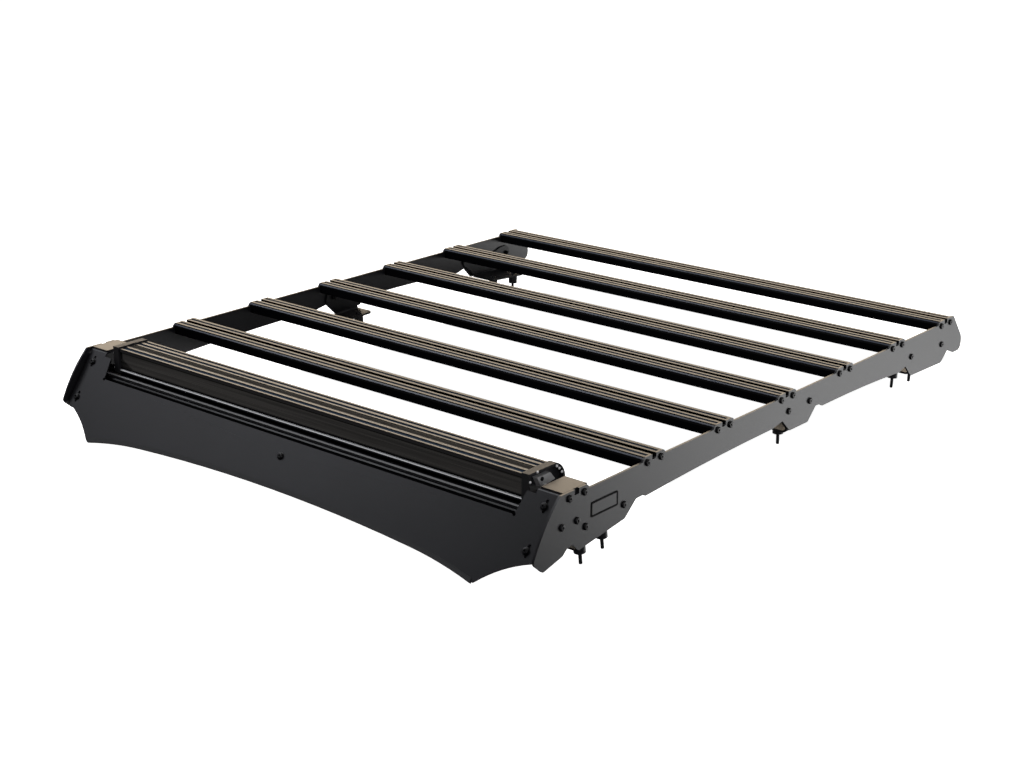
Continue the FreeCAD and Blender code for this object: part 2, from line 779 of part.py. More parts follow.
def bar_blank(x, length, inset):
    """A solid of the bar's D-shaped section, drawn in by an inset all round."""
    centre_y, centre_z = BAR_BACK_CENTRE
    radius = BAR_BACK_RADIUS - inset
    top = BAR_TOP - inset
    floor = BAR_FLOOR + inset
    front = BAR_FRONT + inset
    place = on_side(x)
    start = place(centre_y + math.sqrt(radius ** 2 - (top - centre_z) ** 2), top)
    end = place(centre_y + math.sqrt(radius ** 2 - (floor - centre_z) ** 2), floor)
    back = Part.Arc(start, place(centre_y + radius, centre_z), end).toShape()
    rest = Part.makePolygon([end, place(front, floor), place(front, top), start])
    return Part.Face(Part.Wire([back] + rest.Edges)).extrude(point(length, 0, 0))


def bar_fins(floor):
    """The fins that stand evenly in the bar's widest groove."""
    start, end = BAR_GROOVES[1]
    gap = (end - start - FIN_COUNT * FIN_WIDTH) / (FIN_COUNT + 1)
    fins = []
    for number in range(FIN_COUNT):
        y = BAR_FRONT + start + gap + number * (gap + FIN_WIDTH)
        low = point(-BAR_HALF_LENGTH, y, floor)
        fins.append(Part.makeBox(2 * BAR_HALF_LENGTH, FIN_WIDTH, FIN_HEIGHT, low))
    return fins


def light_bar_housing():
    """The finned body between the end caps, open to the lens at the front."""
    length = 2 * BAR_HALF_LENGTH
    body = bar_blank(-BAR_HALF_LENGTH, length, 0)
    floor = BAR_TOP - BAR_GROOVE_DEPTH
    for start, end in BAR_GROOVES:
        low = point(-BAR_HALF_LENGTH, BAR_FRONT + start, floor)
        body = body.cut(Part.makeBox(length, end - start, BAR_GROOVE_DEPTH + 1, low))
    lens_face = BAR_FRONT + LENS_SETBACK
    lens_back = lens_face + LENS_THICKNESS
    before = BAR_FRONT - 1
    recess = [
        (before, LENS_HALF_HEIGHT, 0),
        (lens_back, LENS_HALF_HEIGHT, 0),
        (lens_back, -LENS_HALF_HEIGHT, 0),
        (lens_face, -LENS_HALF_HEIGHT, 0),
        (before, -LENS_HALF_HEIGHT - LENS_LIP_DROP, 0),
    ]
    body = body.cut(sheet(recess, on_side(-BAR_HALF_LENGTH), point(length, 0, 0)))
    return joined([body] + bar_fins(floor))


def light_bar_lens():
    low = point(-BAR_HALF_LENGTH, BAR_FRONT + LENS_SETBACK, -LENS_HALF_HEIGHT)
    return Part.makeBox(2 * BAR_HALF_LENGTH, LENS_THICKNESS, 2 * LENS_HALF_HEIGHT, low)


def light_bar_end_cap():
    """The right end cap, hollowed on its outer side for the bracket."""
    blank = bar_blank(BAR_HALF_LENGTH, CAP_WIDTH, -CAP_OVERHANG)
    pocket = bar_blank(BAR_HALF_LENGTH + CAP_FLOOR, CAP_WIDTH, CAP_WALL - CAP_OVERHANG)
    return blank.cut(pocket)


def light_bar_bracket():
    """The right bracket: a block in the end cap and an arm to the corner."""
    start = BAR_HALF_LENGTH + CAP_FLOOR
    outer = INNER_FACE - CORNER_SHEET
    block = sheet(BAR_BLOCK, on_side(start), point(CAP_WIDTH - CAP_FLOOR, 0, 0))
    section = [
        (start + ARM_LAP, ARM_FLOOR, 0),
        (start + ARM_LAP, ARM_FLOOR + ARM_THICKNESS, 0),
        (outer - ARM_THICKNESS, ARM_FLOOR + ARM_THICKNESS, 1.0),
        (outer - ARM_THICKNESS, ARM_TOP, 0),
        (outer, ARM_TOP, 0),
        (outer, ARM_FLOOR, ARM_THICKNESS),
    ]
    arm = sheet(section, on_front(ARM_FRONT), point(0, ARM_WIDTH, 0))
    return joined([block, arm])


# Assembly

def assembly():
    """Every piece of the rack by the name of its node."""
    pieces = {}
    plate = side_plate()
    pieces["side_plate_right"] = plate
    pieces["side_plate_left"] = mirrored(plate)
    one_slat = slat()
    for number in range(1, SLAT_COUNT + 1):
        pieces["slat_%d" % number] = one_slat.translated(point(0, SLAT_PITCH * number, 0))
    pieces["front_slat"] = one_slat.translated(point(0, FRONT_SLAT_Y, -FRONT_SLAT_DROP))
    deflector = wind_deflector()
    pieces["wind_deflector"] = deflector
    pieces["deflector_edge_trim"] = edge_trim(deflector)
    pieces["deflector_stay"] = deflector_stay()
    pieces["light_bar_housing"] = light_bar_housing()
    pieces["light_bar_lens"] = light_bar_lens()
    paired = {
        "corner_bracket": corner_bracket(),
        "deflector_bracket": deflector_bracket(),
        "light_bar_end_cap": light_bar_end_cap(),
        "light_bar_bracket": light_bar_bracket(),
    }
    for place, foot in FEET.items():
        paired["foot_" + place] = foot_bracket(foot)
        paired["foot_spacers_" + place] = foot_spacers(foot)
        paired["foot_studs_" + place] = foot_studs(foot)
    for name, shape in paired.items():
        pieces[name + "_right"] = shape
        pieces[name + "_left"] = mirrored(shape)
    return pieces


def main():
    pieces = assembly()
    box = Part.makeCompound(list(pieces.values())).optimalBoundingBox(False, False)
    middle = (box.YMin + box.YMax) / 2
    to_base = point(0, -middle, -box.ZMin)
    os.makedirs("parts", exist_ok=True)
    for name, shape in pieces.items():
        shape.translated(to_base).exportStep("parts/%s.step" % name)
    print("moved to its base by", to_base)


main()
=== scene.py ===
import math

import bpy
from mathutils import Matrix, Vector


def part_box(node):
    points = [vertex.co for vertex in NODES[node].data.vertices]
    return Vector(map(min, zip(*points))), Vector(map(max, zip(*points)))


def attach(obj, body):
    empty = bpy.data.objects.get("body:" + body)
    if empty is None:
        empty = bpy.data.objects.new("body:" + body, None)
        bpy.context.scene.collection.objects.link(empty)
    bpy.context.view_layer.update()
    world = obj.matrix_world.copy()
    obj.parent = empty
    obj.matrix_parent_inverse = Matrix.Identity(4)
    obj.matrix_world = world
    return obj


# The flat platform roof rack, dressed: powder coated plates and slats, a
# light bar with a smoked lens, rubber edge trim, and all the small hardware
# that the solids leave out. All lengths are metres.

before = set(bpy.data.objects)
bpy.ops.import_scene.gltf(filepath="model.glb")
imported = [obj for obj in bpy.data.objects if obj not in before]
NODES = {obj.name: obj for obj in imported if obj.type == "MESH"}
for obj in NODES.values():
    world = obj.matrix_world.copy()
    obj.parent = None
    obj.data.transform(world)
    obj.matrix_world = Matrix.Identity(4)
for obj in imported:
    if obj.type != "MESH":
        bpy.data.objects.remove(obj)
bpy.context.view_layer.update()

# Places read from the solids

PLATE_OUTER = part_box("side_plate_right")[1].x
PLATE_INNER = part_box("side_plate_right")[0].x
SLAT_LOW, SLAT_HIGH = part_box("slat_1")
SLAT_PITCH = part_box("slat_2")[0].y - SLAT_LOW.y
BOLT_LINE_Y = (SLAT_LOW.y + SLAT_HIGH.y) / 2 - SLAT_PITCH
SLAT_TOP = 0.0106
BOLT_LINE_Z = SLAT_HIGH.z - SLAT_TOP
SLAT_BOLT_OFFSET = 0.01855
# The front bolt pair and the six slats
SLAT_LINES = 7
FRONT_SLAT_LOW, FRONT_SLAT_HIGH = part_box("front_slat")
FRONT_SLAT_Y = (FRONT_SLAT_LOW.y + FRONT_SLAT_HIGH.y) / 2
FRONT_SLAT_Z = FRONT_SLAT_HIGH.z - SLAT_TOP

# Foot bolts, measured from the front bolt line
FOOT_BOLTS = (
    (0.0221, -0.0586),
    (0.1200, -0.0528),
    (0.6075, -0.0272),
    (0.6781, -0.0259),
    (1.0598, -0.0349),
    (1.1870, -0.0395),
)
FOOT_SHEET = 0.004
CORNER_SHEET = 0.003

# The deflector's slope and its screws
DEFLECTOR_LEAN = math.radians(35.4)
DEFLECTOR_FACE_Y = BOLT_LINE_Y - 0.0363
DEFLECTOR_OUT = Vector((0.0, -math.cos(DEFLECTOR_LEAN), math.sin(DEFLECTOR_LEAN)))
DEFLECTOR_UP = Vector((0.0, math.sin(DEFLECTOR_LEAN), math.cos(DEFLECTOR_LEAN)))
DEFLECTOR_SCREWS = (
    (0.5550, -0.0149),
    (0.5545, -0.0880),
    (-0.5585, -0.0149),
    (-0.5585, -0.0880),
    (0.0, -0.0708),
)

# The zones of a slat's top where painted light and shade change its colour and sheen: drops are
# measured down from the top, and reaches outwards from the slat's middle line
RIB_STEP = 0.0007
CHAMFER_DROP = 0.0036
SIDE_DROP = 0.0075
SLOT_EDGE = 0.0053
SLOT_REACH = 0.0075
SEAM_INNER = 0.0238
SEAM_OUTER = 0.0258
# A painted highlight along a rib's front edge: its place from the slat's middle line, and its
# half width
HIGHLIGHT_LINE = -0.0113
HIGHLIGHT_HALF = 0.00055

# The zones of the light bar's top, from its front edge, and of its lens, where painted light and
# shade fall
BAR_GROOVE_DEPTH = 0.0045
BAR_GROOVES = (0.0035, 0.0615)
BAR_FINS = (0.0172, 0.0362)
FIN_PITCH = 0.0032
FIN_SHADE = 0.8
LENS_SHADE = 0.0030

# Hardware sizes
BUTTON_RADIUS = 0.006
BUTTON_HEIGHT = 0.0033
BUTTON_DOME = 0.72
SOCKET_RADIUS = 0.0023
SOCKET_DEPTH = 0.0019
WASHER_RADIUS = 0.0068
WASHER_HEIGHT = 0.0010
WASHER_BEVEL = 0.0003
NUT_RADIUS = 0.0058
NUT_HEIGHT = 0.0050
COLLAR_INSET = 0.0009
COLLAR_RISE = 0.0006
BOLT_END_RADIUS = 0.003
BOLT_END_REACH = 0.003
BOLT_END_BEVEL = 0.0005
ROUND_SIDES = 24
BOLT_END_SIDES = 20
HEXAGON_SIDES = 6
THREAD_DEPTH = 0.0006
# The band wave's scale, which draws the thread's rings 1.97 mm apart
THREAD_SCALE = 1000 / math.tau

# Each side's sign along X and its name
SIDES = ((1, "right"), (-1, "left"))
# A face points along an axis when its normal has more than this share there
AXIS_SHARE = 0.9
# Corners closer than the first count as one, and places closer than the second as equal
MERGE_GAP = 1e-6
PLACE_GAP = 1e-5


# Small helpers

def deselect():
    if bpy.context.object and bpy.context.object.mode != "OBJECT":
        bpy.ops.object.mode_set(mode="OBJECT")
    bpy.ops.object.select_all(action="DESELECT")


def select_only(piece):
    deselect()
    piece.select_set(True)
    bpy.context.view_layer.objects.active = piece


def name_piece(name):
    piece = bpy.context.object
    piece.name = name
    piece.data.name = name
    return piece


def clear_choice(piece, kind):
    """Leaves nothing of the piece's mesh selected, in the FACE or the EDGE mode."""
    select_only(piece)
    bpy.ops.object.mode_set(mode="EDIT")
    bpy.ops.mesh.select_mode(type=kind)
    bpy.ops.mesh.select_all(action="DESELECT")
    bpy.ops.object.mode_set(mode="OBJECT")


def edit_faces(piece, keep):
    """Opens the piece for editing with only the faces that keep() accepts selected."""
    clear_choice(piece, "FACE")
    for face in piece.data.polygons:
        face.select = keep(face)
    bpy.ops.object.mode_set(mode="EDIT")


def edit_edges(piece, keep):
    """Opens the piece for editing with only the edges that keep() accepts selected."""
    clear_choice(piece, "EDGE")
    corners = piece.data.vertices
    for edge in piece.data.edges:
        a, b = edge.vertices
        edge.select = keep(corners[a].co, corners[b].co)
    bpy.ops.object.mode_set(mode="EDIT")


def finish_editing():
    bpy.ops.mesh.select_all(action="SELECT")
    bpy.ops.mesh.remove_doubles(threshold=MERGE_GAP)
    bpy.ops.mesh.normals_make_consistent(inside=False)
    bpy.ops.object.mode_set(mode="OBJECT")


def smooth(piece, angle=35.0):
    select_only(piece)
    bpy.ops.object.shade_smooth_by_angle(angle=math.radians(angle))


def apply_place(piece):
    """Puts the piece's place into its mesh, so that its object sits at the origin."""
    select_only(piece)
    bpy.ops.object.transform_apply(location=True, rotation=True, scale=True)


def cut(piece, tool):
    """Cuts the tool's shape out of the piece and removes the tool."""
    select_only(piece)
    cutter = piece.modifiers.new("cut", "BOOLEAN")
    cutter.operation = "DIFFERENCE"
    cutter.solver = "EXACT"
    cutter.object = tool
    bpy.ops.object.modifier_apply(modifier=cutter.name)
    bpy.data.objects.remove(tool)


def copy_to(model, place):
    """A copy of the model with its own mesh, moved by the place matrix."""
    piece = model.copy()
    piece.data = model.data.copy()
    piece.data.transform(place)
    bpy.context.scene.collection.objects.link(piece)
    return piece


def joined(pieces, name):
    deselect()
    for piece in pieces:
        piece.select_set(True)
    bpy.context.view_layer.objects.active = pieces[0]
    bpy.ops.object.join()
    return name_piece(name)


def facing(origin, outward):
    """A matrix that turns +Z to the outward direction and moves to the origin."""
    turn = Vector(outward).to_track_quat("Z", "Y").to_matrix().to_4x4()
    return Matrix.Translation(Vector(origin)) @ turn


def dress(piece, material):
    """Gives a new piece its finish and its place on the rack."""
    piece.data.materials.clear()
    piece.data.materials.append(material)
    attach(piece, "root")


# Materials

# The specular level of a shader where no painted shade takes its sheen, and the height of a fine
# grain
FULL_SHEEN = 0.5
GRAIN_DEPTH = 0.0002


def srgb(code):
    """A hex sRGB colour as linear red, green, blue and alpha."""
    channels = []
    for start in (0, 2, 4):
        value = int(code[start:start + 2], 16) / 255
        linear = value / 12.92 if value <= 0.04045 else ((value + 0.055) / 1.055) ** 2.4
        channels.append(linear)
    return (*channels, 1.0)


def new_material(name):
    material = bpy.data.materials.new(name)
    material.use_nodes = True
    material.node_tree.nodes.clear()
    return material


def add(material, kind, settings=None, **links):
    """Adds a node, sets its properties or sockets, and links sockets by name."""
    node = material.node_tree.nodes.new(kind)
    for key, value in (settings or {}).items():
        if key in node.inputs:
            node.inputs[key].default_value = value
        else:
            setattr(node, key, value)
    for key, source in links.items():
        material.node_tree.links.new(source, node.inputs[key.replace("_", " ")])
    return node


def ramp(material, source, stops):
    """A colour ramp between two (place, hex colour) stops, fed by the source."""
    node = add(material, "ShaderNodeValToRGB", Fac=source)
    for element, (place, code) in zip(node.color_ramp.elements, stops):
        element.position, element.color = place, srgb(code)
    return node.outputs["Color"]


def spread(material, source, low, high):
    """Maps a 0 to 1 pattern to the range from low to high."""
    node = add(material, "ShaderNodeMapRange", {"To Min": low, "To Max": high}, Value=source)
    return node.outputs["Result"]


def surface(material, shader_settings, **links):
    shader = add(material, "ShaderNodeBsdfPrincipled", shader_settings, **links)
    add(material, "ShaderNodeOutputMaterial", Surface=shader.outputs["BSDF"])
    return material


def coordinates(material):
    return add(material, "ShaderNodeTexCoord").outputs["Object"]


def noise(material, place, per_metre, detail=2.0, stretch=(1.0, 1.0, 1.0)):
    """A soft noise with so many bumps per metre, stretched along an axis."""
    mapping = add(material, "ShaderNodeMapping", {"Scale": stretch}, Vector=place)
    settings = {"Scale": per_metre, "Detail": detail}
    node = add(material, "ShaderNodeTexNoise", settings, Vector=mapping.outputs["Vector"])
    return node.outputs["Fac"]


def bumped(material, height, strength, depth=GRAIN_DEPTH):
    """A surface normal that follows the pattern's heights."""
    settings = {"Strength": strength, "Distance": depth}
    return add(material, "ShaderNodeBump", settings, Height=height).outputs["Normal"]


def reckon(material, operation, first, second, third=0.0):
    """A math node on two or three numbers or sockets."""
    node = add(material, "ShaderNodeMath", {"operation": operation})
    for socket, value in zip(node.inputs, (first, second, third)):
        if isinstance(value, (int, float)):
            socket.default_value = value
        else:
            material.node_tree.links.new(value, socket)
    return node.outputs["Value"]


def within(material, value, low, high):
    """1 where the value lies between low and high, else 0."""
    return reckon(material, "COMPARE", value, (low + high) / 2, (high - low) / 2)


def blended(material, share, first, second):
    """The first colour where the share is 0 and the second where it is 1."""
    node = add(material, "ShaderNodeMix", {"data_type": "RGBA"})
    links = material.node_tree.links
    links.new(share, node.inputs["Factor"])
    links.new(first, node.inputs[6])
    if isinstance(second, str):
        node.inputs[7].default_value = srgb(second)
    else:
        links.new(second, node.inputs[7])
    return node.outputs[2]


def sheen_in_shade(material, share):
    """The full sheen where the share of painted shade is 0, and none where it is 1."""
    return reckon(material, "MULTIPLY_ADD", share, -FULL_SHEEN, FULL_SHEEN)


def grained(name, pattern, tones, rough, settings, bump=0.0):
    """A finish whose tone and roughness follow one fine noise. The pattern is the
    noise's bumps per metre, its detail and, where it has one, its stretch."""
    material = new_material(name)
    grain = noise(material, coordinates(material), *pattern)
    links = {"Base_Color": ramp(material, grain, ((0.3, tones[0]), (0.7, tones[1])))}
    if rough:
        links["Roughness"] = spread(material, grain, *rough)
    if bump:
        links["Normal"] = bumped(material, grain, bump)
    return surface(material, settings, **links)


def powder_coat(name, light, dark, roughness, peel):
    """Satin black polyester powder on metal: a fine orange peel of about 1 mm."""
    material = new_material(name)
    place = coordinates(material)
    cloud = noise(material, place, 6.0, 3.0)
    grain = noise(material, place, 900.0, 2.0)
    colour = ramp(material, cloud, ((0.30, dark), (0.72, light)))
    rough = spread(material, grain, roughness - 0.05, roughness + 0.05)
    return surface(material, {"IOR": 1.40}, Base_Color=colour, Roughness=rough,
                   Normal=bumped(material, grain, peel))


def coated_extrusion(name, line, top, recess_shade_code, chamfer_light_code, highlight_code):
    """Powder coated extruded aluminium with faint die lines along X. Painted shade tints
    the grooves, blackens the slot and takes the sheen off them, the slot's mouth, the sides and a
    thin line beside the outer ribs; the chamfers carry a painted reflection, and one line of the
    top a painted highlight."""
    material = new_material(name)
    place = coordinates(material)
    axes = add(material, "ShaderNodeSeparateXYZ", Vector=place)
    off_line = reckon(material, "SUBTRACT", axes.outputs["Y"], line)
    reach = reckon(material, "PINGPONG", off_line, SLAT_PITCH / 2)
    sunk = reckon(material, "LESS_THAN", axes.outputs["Z"], top - RIB_STEP)
    inside = reckon(material, "LESS_THAN", reach, SEAM_INNER)
    recess = reckon(material, "MULTIPLY", sunk, inside)
    slot = reckon(material, "MULTIPLY", recess, reckon(material, "LESS_THAN", reach, SLOT_REACH))
    seam_shade = within(material, reach, SEAM_INNER, SEAM_OUTER)
    cloud = noise(material, place, 5.0, 3.0)
    lines = noise(material, place, 700.0, 2.0, (0.01, 1.0, 1.0))
    colour = ramp(material, cloud, ((0.30, "060607"), (0.75, "0a0a0c")))
    # Painted shade: the grooves take the given shade tone, and the slot goes black
    colour = blended(material, recess, colour, recess_shade_code)
    colour = blended(material, slot, colour, "010101")
    # Painted reflection: the chamfers take the given tone of reflected light
    high = reckon(material, "GREATER_THAN", axes.outputs["Z"], top - CHAMFER_DROP)
    beyond = reckon(material, "GREATER_THAN", reach, SEAM_OUTER)
    colour = blended(material, reckon(material, "MULTIPLY", high, beyond), colour, chamfer_light_code)
    # Painted highlight: a thin line along a rib's front edge takes the given light tone
    rib_highlight = within(material, off_line, HIGHLIGHT_LINE - HIGHLIGHT_HALF, HIGHLIGHT_LINE + HIGHLIGHT_HALF)
    colour = blended(material, rib_highlight, colour, highlight_code)
    # Painted shade takes the sheen off the slot's mouth, the sides, the grooves and a thin line
    # beside the outer ribs
    mouth = reckon(material, "LESS_THAN", reach, SLOT_EDGE)
    side = reckon(material, "LESS_THAN", axes.outputs["Z"], top - SIDE_DROP)
    shade_share = reckon(material, "MAXIMUM", reckon(material, "MAXIMUM", recess, seam_shade), mouth)
    shade_share = reckon(material, "MAXIMUM", shade_share, side)
    rough = spread(material, lines, 0.24, 0.34)
    return surface(material, {"IOR": 1.28}, Base_Color=colour, Roughness=rough,
                   Specular_IOR_Level=sheen_in_shade(material, shade_share),
                   Normal=bumped(material, lines, strength=0.12))


def anodised_housing():
    """Black anodised heat sink aluminium: a low metal sheen with extrusion lines. Painted shade
    makes its top's grooves bluish and sheenless, and fins are drawn along its middle as painted
    lit stripes and shaded gaps."""
    material = new_material("black_anodised_aluminium")
    place = coordinates(material)
    low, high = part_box("light_bar_housing")
    axes = add(material, "ShaderNodeSeparateXYZ", Vector=place)
    sunk = within(material, axes.outputs["Z"], high.z - BAR_GROOVE_DEPTH, high.z - RIB_STEP)
    across = within(material, axes.outputs["Y"], low.y + BAR_GROOVES[0], low.y + BAR_GROOVES[1])
    recess = reckon(material, "MULTIPLY", sunk, across)
    finned = within(material, axes.outputs["Y"], low.y + BAR_FINS[0], low.y + BAR_FINS[1])
    lines = noise(material, place, 600.0, 2.0, (0.01, 1.0, 1.0))
    colour = ramp(material, lines, ((0.3, "141416"), (0.7, "1e1e20")))
    # Painted shade: the grooves of the top take a bluish tone
    colour = blended(material, recess, colour, "38424e")
    # Painted light and shade: fins drawn as lit stripes and shaded gaps, with little sheen
    fold = reckon(material, "PINGPONG", axes.outputs["Y"], FIN_PITCH / 2)
    fins = reckon(material, "MULTIPLY", fold, 2 / FIN_PITCH)
    fin_light_and_shade = ramp(material, fins, ((0.35, "403d39"), (0.65, "7c776f")))
    colour = blended(material, finned, colour, fin_light_and_shade)
    fin_shade = reckon(material, "MULTIPLY", finned, FIN_SHADE)
    shade_share = reckon(material, "MAXIMUM", recess, fin_shade)
    rough = spread(material, lines, 0.28, 0.40)
    return surface(material, {"IOR": 1.5}, Base_Color=colour, Roughness=rough,
                   Specular_IOR_Level=sheen_in_shade(material, shade_share),
                   Normal=bumped(material, lines, strength=0.12))


def smoked_lens():
    """Hard coated polycarbonate over dark reflectors: faint streaks along X, and
    a painted shadow of the housing's lip along its top edge, black and without sheen."""
    material = new_material("smoked_polycarbonate")
    place = coordinates(material)
    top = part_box("light_bar_lens")[1].z
    axes = add(material, "ShaderNodeSeparateXYZ", Vector=place)
    # Painted shadow of the housing's lip along the lens's top
    shaded = within(material, axes.outputs["Z"], top - LENS_SHADE, top)
    streaks = noise(material, place, 170.0, 3.0, (0.015, 1.0, 1.0))
    colour = ramp(material, streaks, ((0.40, "0f0f0e"), (0.60, "3b3936")))
    colour = blended(material, shaded, colour, "020202")
    rough = spread(material, streaks, 0.08, 0.14)
    settings = {"IOR": 1.58, "Coat Weight": 0.4, "Coat Roughness": 0.04}
    return surface(material, settings, Base_Color=colour, Roughness=rough,
                   Specular_IOR_Level=sheen_in_shade(material, shaded))


def moulded_cap():
    """Glass filled nylon: matt black with a fine spark eroded grain of about 0.8 mm."""
    return grained("glass_filled_nylon", (1250.0, 3.0), ("101012", "1a1a1c"),
                   (0.45, 0.60), {"IOR": 1.5}, bump=0.3)


def cast_bracket():
    """Bead blasted cast aluminium: a mid grey satin with a fine pitted grain."""
    return grained("blasted_cast_aluminium", (1100.0, 3.0), ("a6a6a4", "bab9b7"),
                   (0.28, 0.38), {"Metallic": 0.1, "IOR": 1.45}, bump=0.15)


def bare_aluminium():
    """Mill finished aluminium edge: pale, with fine die lines along X."""
    return grained("mill_finished_aluminium", (900.0, 2.0, (0.01, 1.0, 1.0)),
                   ("dadada", "f0f0f0"), (0.38, 0.52), {"Metallic": 0.1})


def edge_rubber():
    """Extruded EPDM rubber: dull black with fine lines along its run."""
    return grained("epdm_rubber", (500.0, 2.0, (0.02, 1.0, 1.0)), ("0d0d0e", "161617"),
                   (0.6, 0.75), {"IOR": 1.52})


def blackened_steel():
    """Black oxide screws: a dark, oily satin with a faint mottle."""
    return grained("black_oxide_steel", (400.0, 3.0), ("050506", "0c0c0d"),
                   (0.26, 0.38), {"IOR": 1.32})


def threaded_steel():
    """Black zinc studs: the thread is drawn as bump rings on the shaft, at about
    twice its real pitch of 1 mm so that they show."""
    material = new_material("black_zinc_thread")
    place = coordinates(material)
    settings = {"wave_type": "BANDS", "bands_direction": "Z", "Scale": THREAD_SCALE}
    rings = add(material, "ShaderNodeTexWave", settings, Vector=place).outputs["Fac"]
    colour = ramp(material, rings, ((0.1, "0c0c0d"), (0.9, "2a2a2c")))
    rough = spread(material, rings, 0.50, 0.32)
    return surface(material, {"Metallic": 0.5}, Base_Color=colour, Roughness=rough,
                   Normal=bumped(material, rings, 0.9, THREAD_DEPTH))


def turned_spacer():
    """Turned black acetal: a soft satin with fine turning rings."""
    return grained("turned_acetal", (900.0, 2.0, (0.05, 0.05, 1.0)), ("101011", "19191b"),
                   (0.34, 0.46), {"IOR": 1.48})


def black_enamel():
    """A badge's printed black rim, also the painted shadow strip under the lens: matt, with a
    faint mottle.
    """
    return grained("black_enamel", (700.0, 2.0), ("010101", "060606"),
                   None, {"Roughness": 0.5, "IOR": 1.12})


def glint_white_screw():
    """Pan head screws in pale satin metal, near white as a painted glint."""
    return grained("glint_white_steel", (900.0, 2.0), ("d8d7d4", "eeeeec"),
                   (0.30, 0.42), {"Metallic": 0.3})


def pale_floor():
    """A matt white studio floor, lit evenly, with the faintest cloud in its tone."""
    material = new_material("studio_floor")
    place = coordinates(material)
    cloud = noise(material, place, 0.6, 2.0)
    colour = ramp(material, cloud, ((0.2, "fdfdfd"), (0.8, "ffffff")))
    settings = {"Roughness": 0.9, "Specular IOR Level": 0.1, "Emission Strength": 1.0}
    return surface(material, settings, Base_Color=colour, Emission_Color=colour)


def flag_cloth():
    """Grey studio cloth with a fine weave."""
    return grained("flag_cloth", (800.0, 2.0), ("949494", "a0a0a0"),
                   None, {"Roughness": 0.95, "Specular IOR Level": 0.0})


# Small hardware

def standing(name, sides, radius, height):
    """A prism with so many sides that stands on the XY plane."""
    bpy.ops.mesh.primitive_cylinder_add(
        vertices=sides, radius=radius, depth=height, location=(0, 0, height / 2))
    piece = name_piece(name)
    apply_place(piece)
    return piece


def bevel_above(piece, height, **bevel):
    """Bevels the edges that lie wholly above the height."""
    edit_edges(piece, lambda a, b: min(a.z, b.z) > height)
    bpy.ops.mesh.bevel(**bevel)
    finish_editing()


def button_head():
    """One button head screw with its hexagon socket, standing on the XY plane."""
    head = standing("button_head", ROUND_SIDES, BUTTON_RADIUS, BUTTON_HEIGHT)
    bevel_above(head, BUTTON_HEIGHT / 2,
                offset=BUTTON_HEIGHT * BUTTON_DOME, segments=4, profile=0.55)
    bpy.ops.mesh.primitive_cylinder_add(
        vertices=HEXAGON_SIDES, radius=SOCKET_RADIUS, depth=SOCKET_DEPTH * 2,
        location=(0, 0, BUTTON_HEIGHT))
    cut(head, bpy.context.object)
    return head


def flanged_button_head():
    """The button head on its plain washer."""
    head = button_head()
    head.data.transform(Matrix.Translation((0, 0, WASHER_HEIGHT)))
    washer = standing("washer", ROUND_SIDES, WASHER_RADIUS, WASHER_HEIGHT)
    bevel_above(washer, WASHER_HEIGHT / 2, offset=WASHER_BEVEL, segments=2)
    return joined([head, washer], "flanged_button_head")


def lock_nut():
    """A hexagon nut with its nylon collar and the end of its bolt."""
    nut = standing("lock_nut", HEXAGON_SIDES, NUT_RADIUS, NUT_HEIGHT)
    edit_faces(nut, lambda face: face.normal.z > AXIS_SHARE)
    bpy.ops.mesh.inset(thickness=COLLAR_INSET)
    bpy.ops.transform.translate(value=(0, 0, COLLAR_RISE))
    finish_editing()
    bolt_end = standing("bolt_end", BOLT_END_SIDES, BOLT_END_RADIUS, NUT_HEIGHT + BOLT_END_REACH)
    bevel_above(bolt_end, NUT_HEIGHT, offset=BOLT_END_BEVEL, segments=1)
    return joined([nut, bolt_end], "lock_nut")


def plate_bolt_places():
    """Every bolt on a side plate, as (y, z)."""
    places = []
    for number in range(SLAT_LINES):
        for side in (-1, 1):
            y = BOLT_LINE_Y + SLAT_PITCH * number + side * SLAT_BOLT_OFFSET
            places.append((y, BOLT_LINE_Z))
    for side in (-1, 1):
        places.append((FRONT_SLAT_Y + side * SLAT_BOLT_OFFSET, FRONT_SLAT_Z))
    return places + foot_bolt_places()


def foot_bolt_places():
    return [(BOLT_LINE_Y + y, BOLT_LINE_Z + z) for y, z in FOOT_BOLTS]


def hardware(model, places, name, material, angle=35.0):
    """Copies of the model at the place matrices, joined into one dressed piece."""
    piece = joined([copy_to(model, place) for place in places], name)
    smooth(piece, angle)
    dress(piece, material)


def plate_bolts(material):
    """The button heads on both plates' outer faces."""
    model = button_head()
    seats = plate_bolt_places()
    for side, word in SIDES:
        places = [facing((side * PLATE_OUTER, y, z), (side, 0, 0)) for y, z in seats]
        hardware(model, places, f"plate_bolts_{word}", material)
    bpy.data.objects.remove(model)


def foot_nuts(material):
    """The lock nuts on the feet's and the corner brackets' inner sides."""
    model = lock_nut()
    seats = [(y, z, FOOT_SHEET) for y, z in foot_bolt_places()]
    for side in (-1, 1):
        seats.append((BOLT_LINE_Y + side * SLAT_BOLT_OFFSET, BOLT_LINE_Z, CORNER_SHEET))
    for side, word in SIDES:
        places = [facing((side * (PLATE_INNER - sheet), y, z), (-side, 0, 0))
                  for y, z, sheet in seats]
        hardware(model, places, f"foot_nuts_{word}", material)
    bpy.data.objects.remove(model)


def deflector_screws(material):
    """The deflector's screws on their washers."""
    model = flanged_button_head()
    base = Vector((0.0, DEFLECTOR_FACE_Y, BOLT_LINE_Z))
    places = [facing(base + Vector((x, 0, 0)) + DEFLECTOR_UP * up, DEFLECTOR_OUT)
              for x, up in DEFLECTOR_SCREWS]
    hardware(model, places, "deflector_screws", material)
    bpy.data.objects.remove(model)


# Badge, placed from the front bolt line

BADGE_FRONT = 0.035
BADGE_REAR = 0.104
BADGE_TOP = -0.023
BADGE_LOW = -0.0485
BADGE_HEIGHT = 0.0008
BADGE_RIM = 0.0030
BADGE_STEP = 0.0003
BADGE_CORNER = 0.0035


